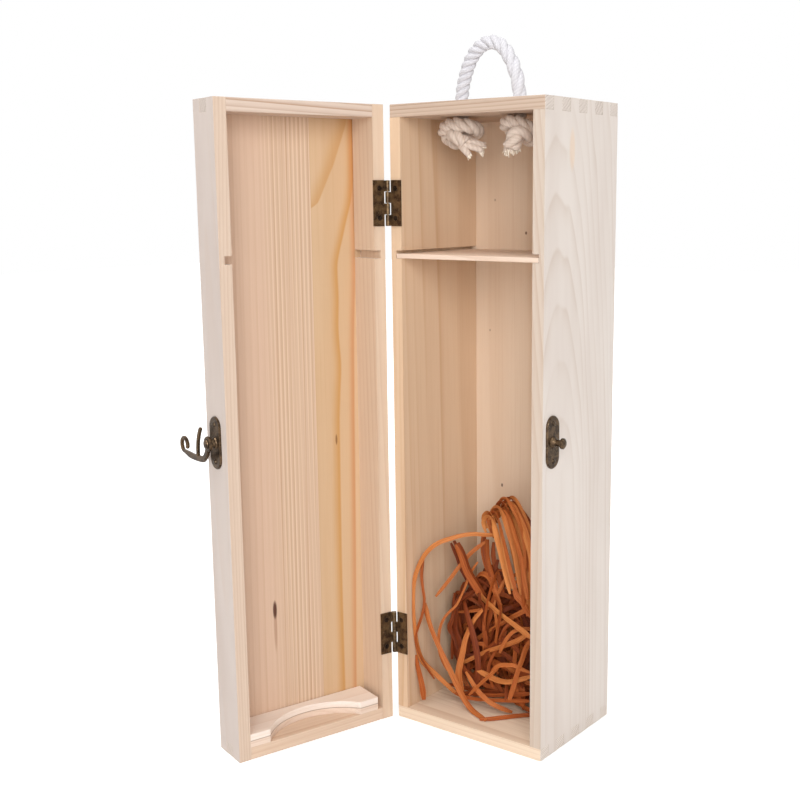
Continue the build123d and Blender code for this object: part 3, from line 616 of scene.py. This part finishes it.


# ---- raffia packing ----
# A loose nest of dry raffia on the case's floor: a bundle of broad orange-brown ribbons folded over
# at the top right, single ones that bow out to the left, and a dark tangle of narrow ones behind,
# among broad dark ribbons that also stand in as painted shade in the nest's deep gaps.
# Each route in front is given as its width, its tone from 0 (dark) to 1, and millimetre places.
raffia_routes = [
    (0.0036, 0.75, [(-6, 2, 110), (-9, -4, 111), (-15, -9, 112), (-21, -14, 111), (-26, -18, 109),
     (-31, -22, 107), (-36, -26, 102), (-39, -29, 95), (-41, -32, 86), (-42, -32, 76), (-42, -32,
     64), (-42, -31, 54), (-42, -29, 43), (-41, -26, 33), (-37, -22, 27), (-31, -18, 20), (-25, -12,
     11)]),
    (0.0026, 0.35, [(-38, -27, 97), (-39, -28, 89), (-38, -28, 80), (-37, -27, 71), (-38, -29, 62),
     (-41, -30, 54), (-42, -31, 48), (-40, -30, 40), (-38, -27, 32), (-33, -24, 23)]),
    (0.0042, 0.45, [(-42, -30, 38), (-41, -30, 32), (-39, -30, 25), (-38, -29, 18), (-38, -28,
     10)]),
    (0.0042, 0.60, [(-38, -26, 70), (-36, -26, 61), (-32, -26, 52), (-27, -25, 42), (-23, -24, 34),
     (-19, -22, 24), (-15, -21, 16), (-10, -20, 9), (-2, -23, 8), (6, -26, 8)]),
    (0.0036, 0.40, [(2, -27, 8), (6, -25, 8), (11, -19, 8), (18, -10, 8), (28, 0, 8)]),
    (0.0030, 0.60, [(-17, 6, 103), (-22, 0, 98), (-24, -4, 94), (-27, -9, 88), (-30, -12, 82), (-36,
     -18, 72)]),
    (0.0066, 0.25, [(-26, -10, 107), (-23, -8, 99), (-22, -6, 91), (-19, -2, 82), (-14, 2, 72)]),
    (0.0022, 0.60, [(-18, 0, 92), (-21, -4, 86), (-22, -7, 78), (-24, -9, 72), (-26, -11, 66), (-30,
     -14, 62), (-33, -17, 56), (-34, -19, 46), (-33, -18, 34), (-30, -15, 26)]),
    (0.0046, 0.80, [(-28, 2, 80), (-20, 0, 74), (-13, -2, 71), (-4, -5, 68), (8, -9, 65), (18, -12,
     63), (29, -15, 60)]),
    (0.0046, 0.65, [(-10, -6, 66), (-14, -9, 61), (-16, -11, 55), (-19, -12, 47), (-20, -13, 39),
     (-22, -14, 30), (-23, -14, 22), (-21, -12, 14)]),
    (0.0030, 0.50, [(-28, -8, 61), (-22, -6, 62), (-14, -4, 64), (-7, 0, 66)]),
    (0.0036, 0.55, [(25, -10, 75), (14, -8, 68), (3, -5, 60), (-8, -2, 52), (-20, 1, 43), (-30, 4,
     33)]),
    (0.0036, 0.70, [(26, -14, 61), (20, -12, 56), (12, -10, 51), (3, -8, 46), (-7, -7, 41), (-16,
     -8, 35), (-24, -9, 30)]),
    (0.0040, 0.80, [(-10, -12, 30), (-2, -13, 29), (6, -14, 28), (14, -14, 29), (21, -12, 32), (26,
     -9, 34)]),
    (0.0034, 0.60, [(2, -16, 32), (6, -17, 38), (13, -18, 41), (20, -17, 42), (23, -16, 40), (28,
     -13, 38)]),
    (0.0042, 0.55, [(28, -14, 58), (26, -15, 54), (24, -16, 46), (22, -17, 40), (20, -17, 32), (16,
     -17, 20)]),
    (0.0032, 0.60, [(8, -16, 38), (2, -17, 31), (-5, -18, 24), (-12, -18, 16)]),
    (0.0034, 0.60, [(-17, -14, 28), (-12, -15, 23), (-6, -16, 18), (4, -15, 12), (12, -8, 8)]),
    (0.0056, 0.75, [(-15, 8, 110), (-18, 8, 115), (-15, 7, 120), (-9, 4, 122), (-4, 0, 118), (0, -3,
     112), (5, -6, 103), (10, -9, 93), (15, -11, 83)]),
    (0.0056, 0.85, [(-16, 12, 116), (-13, 10, 122), (-5, 5, 126), (2, 0, 122), (8, -4, 114), (14,
     -7, 106), (18, -10, 97), (22, -12, 82)]),
    (0.0056, 0.70, [(-12, 14, 120), (-8, 12, 126), (-1, 7, 128), (7, 1, 123), (14, -4, 115), (20,
     -8, 107), (24, -11, 98), (26, -13, 87), (26, -13, 74)]),
    (0.0052, 0.60, [(-9, 16, 121), (-6, 13, 128), (1, 9, 132), (9, 4, 128), (16, 0, 122), (21, -3,
     116), (26, -8, 106), (27, -10, 92)]),
    (0.0048, 0.30, [(-8, 18, 122), (-6, 16, 129), (1, 12, 129), (9, 8, 125), (16, 5, 120), (22, 2,
     110), (26, 0, 98)]),
    (0.0048, 0.45, [(-18, 10, 106), (-18, 9, 99), (-15, 7, 92), (-10, 4, 86), (-4, 0, 80)]),
    (0.0046, 0.50, [(16, -12, 85), (17, -12, 81), (22, -12, 79), (24, -12, 74), (28, -11, 70)]),
    (0.0040, 0.15, [(-9, 8, 93), (-11, 6, 85), (-14, 4, 79), (-17, 2, 72), (-22, -2, 72), (-26, -6,
     71), (-29, -9, 65)]),
    (0.0040, 0.10, [(-3, 8, 82), (-6, 5, 73), (-10, 3, 65), (-18, 1, 56), (-24, -1, 45), (-25, -2,
     32), (-23, -2, 22)]),
    (0.0038, 0.20, [(8, 6, 80), (2, 4, 68), (-4, 3, 54), (-9, 2, 41), (-10, 0, 31), (-6, -2, 22),
     (2, -3, 16)]),
    (0.0038, 0.15, [(17, 2, 77), (8, 2, 69), (-3, 4, 66), (-11, 5, 56), (-16, 6, 42), (-19, 6, 29),
     (-12, 4, 18)]),
    (0.0036, 0.35, [(-28, -10, 11), (-17, -8, 12), (-6, -6, 13), (6, -5, 16), (21, -3, 20)]),
    (0.0032, 0.20, [(-34, -8, 14), (-24, -4, 12), (-12, 0, 12), (2, 3, 15), (17, 6, 19)]),
    (0.0032, 0.45, [(-37, -12, 18), (-26, -13, 11), (-12, -12, 11), (4, -10, 14), (24, -8, 18)]),
]
room_low, room_high = (-0.0423, -0.0362, 0.0074), (0.0423, 0.0333, 0.2)


def lay_ribbon(yarns, points, width, tone, facing, sway, rng, blunt=0.6):
    """A dry ribbon along the points, creased lengthwise, its flat side turned to facing."""
    places, marks = even_steps(rope_line(points, "ribbon_line"), 0.0020)
    ahead = np.gradient(places, axis=0)
    ahead /= np.linalg.norm(ahead, axis=1)[:, None]
    flat = np.cross(ahead[0], facing)
    phase, base, cells = rng.uniform(0, 6.28), len(yarns.verts), 4
    creases = [rng.uniform(-0.05, 0.05) for _ in range(cells + 1)]
    for k, place in enumerate(places):
        wanted = np.cross(ahead[k], facing)
        flat = 0.7 * flat / np.linalg.norm(flat) + 0.3 * wanted
        flat -= ahead[k] * (flat @ ahead[k])
        flat /= np.linalg.norm(flat)
        normal = np.cross(flat, ahead[k])
        angle = sway * math.sin(marks[k] * 55 + phase)
        edge = math.cos(angle) * flat + math.sin(angle) * normal
        rise = math.cos(angle) * normal - math.sin(angle) * flat
        ends = min(1.0, blunt + marks[k] / 0.012, blunt + (marks[-1] - marks[k]) / 0.012)
        share = width * ends * (0.88 + 0.12 * math.sin(marks[k] * 90 + phase * 2))
        for c in range(cells + 1):
            u = c / cells - 0.5
            fold = creases[c] * math.cos(marks[k] * 70 + c) + 0.3 * (0.25 - u * u)
            point = place + edge * u * share + rise * fold * share
            yarns.verts.append(np.clip(point, room_low, room_high))
    for k in range(len(places) - 1):
        for c in range(cells):
            a = base + k * (cells + 1) + c
            yarns.faces.append((a, a + 1, a + cells + 2, a + cells + 1))
            near, far = marks[k] + phase, marks[k + 1] + phase
            yarns.uvs += [(near, c / cells), (near, (c + 1) / cells),
                          (far, (c + 1) / cells), (far, c / cells)]
            yarns.tones.append(tone)


def dry_raffia(name, fair, mid, dark):
    """Dry raffia: fibres along the ribbon in orange and brown, with a dull gloss."""
    material, shader, place = new_finish(name)
    strand = place.step("UVMap", {"uv_map": "strand"}, {})
    run = place.step("SeparateXYZ", {}, {0: strand}, "X")
    across = place.step("SeparateXYZ", {}, {0: strand}, "Y")
    tone = place.step("Attribute", {"attribute_type": "GEOMETRY", "attribute_name": "tone"}, {},
                      "Fac")
    fibre = place.step("CombineXYZ", {}, {0: run * 22.0, 1: across * 5.0, 2: tone * 9.0})
    fibre = fibre.noise(3.0, 3.0, 0.6)
    tone = tone + (fibre - 0.5) * 1.3
    colour = tone.between(0.4, 1.0).mix(tone.between(0.0, 0.5).mix(dark, mid), fair)
    feed(shader, "Base Color", colour)
    feed(shader, "Normal", fibre.bump(0.45, 0.0003))
    shader.inputs["Roughness"].default_value = 0.6
    shader.inputs["Specular IOR Level"].default_value = 0.25
    return material


bundle_copies, loose_ribbons = 6, 120
dry = random.Random(19)
nest = Yarns()
for width, tone, route in raffia_routes:
    in_bundle = width > 0.0045 and route[0][2] > 100
    for n in range(bundle_copies if in_bundle else 1):
        aim = Vector((0.40 + dry.uniform(-0.3, 0.3), -0.85, 0.25 + dry.uniform(-0.25, 0.25)))
        shift = Vector((dry.uniform(-5.0, 4.0), dry.uniform(-2.5, 4.0), dry.uniform(-5.0, 1.5)))
        if not in_bundle:
            shift = Vector((0, 0, 0))
        line = [tuple((Vector(place) + shift) / 1000) for place in route]
        share = dry.uniform(0.38, 0.66) if in_bundle else 0.85
        shade = dry.uniform(-0.35, 0.2)
        lay_ribbon(nest, line, width * share, tone + shade if in_bundle else tone, aim, 0.45, dry)
for n in range(loose_ribbons):
    # Every third loose ribbon is broad, dark and set towards the back: raffia, and also painted
    # shade for the deep gaps between ribbons.
    broad_painted_shade = n % 3 == 0
    heart = np.array((dry.uniform(-28, 26), dry.uniform(4, 20) if broad_painted_shade else dry.uniform(-6, 14),
                      dry.uniform(14, 68)))
    yaw, wide, tall = dry.uniform(-0.8, 0.8), dry.uniform(9, 22), dry.uniform(12, 34)
    start, arc = dry.uniform(0, 6.28), dry.uniform(1.4, 3.8)
    loop = []
    for k in range(7):
        t = start + arc * k / 6
        x, z = wide * math.cos(t), tall * math.sin(t)
        shift = np.array([dry.uniform(-2.5, 2.5) for _ in range(3)])
        spot = heart + (x * math.cos(yaw), x * math.sin(yaw), z) + shift
        loop.append(tuple(np.clip(spot, (-36, -12, 9), (40, 27, 92)) / 1000))
    lay_ribbon(nest, loop, dry.uniform(0.0060, 0.0095) if broad_painted_shade else dry.uniform(0.0020, 0.0042),
               dry.uniform(-0.1, 0.1) if broad_painted_shade else dry.uniform(0.0, 0.6),
               (dry.uniform(-0.4, 0.9), -0.8, dry.uniform(-0.4, 0.5)), 0.6, dry)
packing = nest.made("raffia_packing_ribbons", dry_raffia(
    "raffia_dry", paint(212, 136, 74), paint(170, 84, 34), paint(110, 44, 14)))
thickness = packing.modifiers.new("thickness", "SOLIDIFY")
thickness.thickness = 0.0002
thickness.offset = 0.0
bpy.ops.object.select_all(action="DESELECT")
bpy.context.view_layer.objects.active = packing
packing.select_set(True)
bpy.ops.object.modifier_apply(modifier="thickness")
bpy.ops.object.shade_smooth_by_angle(angle=math.radians(32))
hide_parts("raffia_packing")
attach(packing, "case")


# ---- floor, light and camera ----
# A white table that runs out into white light, one broad soft lamp in front of the open side and
# weak ones above and behind. To the camera the table brightens with its distance, so that no
# edge shows.
bpy.ops.object.select_all(action="DESELECT")
bpy.ops.mesh.primitive_plane_add(size=8.0, location=(0, 0, -0.0002))
floor = bpy.context.object
floor.name = "floor"
floor_paint, floor_shader, floor_place = new_finish("floor_white")
floor_shader.inputs["Base Color"].default_value = (0.9, 0.9, 0.9, 1.0)
floor_shader.inputs["Roughness"].default_value = 0.9
floor_shader.inputs["Specular IOR Level"].default_value = 0.1
distance = floor_place.step("VectorMath", {"operation": "LENGTH"}, {0: floor_place}, "Value")
glow = distance.between(0.15, 1.1).mix((0.5, 0.5, 0.5, 1), (1, 1, 1, 1))
to_camera = floor_place.step("LightPath", {}, {}, "Is Camera Ray")
feed(floor_shader, "Emission Color", to_camera.mix((0, 0, 0, 1), glow))
floor_shader.inputs["Emission Strength"].default_value = 0.85
floor.data.materials.append(floor_paint)

world = bpy.data.worlds.new("studio")
bpy.context.scene.world = world
world.use_nodes = True
backdrop = world.node_tree.nodes["Background"]
backdrop.inputs["Color"].default_value = (1.0, 1.0, 1.0, 1.0)
rays = Shade(world.node_tree.nodes.new("ShaderNodeLightPath").outputs["Is Camera Ray"])
mirrored = rays.step("LightPath", {}, {}, "Is Glossy Ray")
through = rays.step("LightPath", {}, {}, "Is Transmission Ray")
shown = rays.math("MAXIMUM", rays.math("MAXIMUM", rays, mirrored), through)
feed(backdrop, "Strength", 0.45 + shown * 0.55)

for name, place, aim, size, watts in (
        ("lamp_front", (1.05, -1.28, 0.75), (0, 0, 0.17), 1.2, 19.0),
        ("lamp_over", (-0.25, -0.5, 1.8), (0, -0.06, 0.17), 1.0, 12.0),
        ("lamp_behind", (-0.7, 1.3, 0.9), (0, 0, 0.17), 1.5, 7.0)):
    lamp = bpy.data.lights.new(name, "AREA")
    lamp.shape = "DISK"
    lamp.size = size
    lamp.energy = watts
    holder = bpy.data.objects.new(name, lamp)
    holder.location = place
    holder.rotation_euler = (Vector(place) - Vector(aim)).to_track_quat("Z", "Y").to_euler()
    bpy.context.scene.collection.objects.link(holder)

bpy.context.scene.view_settings.view_transform = "Standard"
azimuth, elevation, roll = 0.6336, 0.1779, -0.0053
back = Vector((math.sin(azimuth) * math.cos(elevation), -math.cos(azimuth) * math.cos(elevation),
               math.sin(elevation)))
right = (-back).cross(Vector(UP)).normalized()
above = right.cross(-back)
level = math.cos(roll) * right + math.sin(roll) * above
upright = -math.sin(roll) * right + math.cos(roll) * above
camera = bpy.data.objects.new("camera", bpy.data.cameras.new("camera"))
camera.matrix_world = Matrix((level, upright, back)).transposed().to_4x4()
camera.location = (0.3704, -0.5463, 0.3051)
camera.data.sensor_width = 36.0
camera.data.lens = 52.88
camera.data.shift_x, camera.data.shift_y = -0.0745, 0.0105
camera.data.clip_start = 0.01
bpy.context.scene.collection.objects.link(camera)
bpy.context.scene.camera = camera
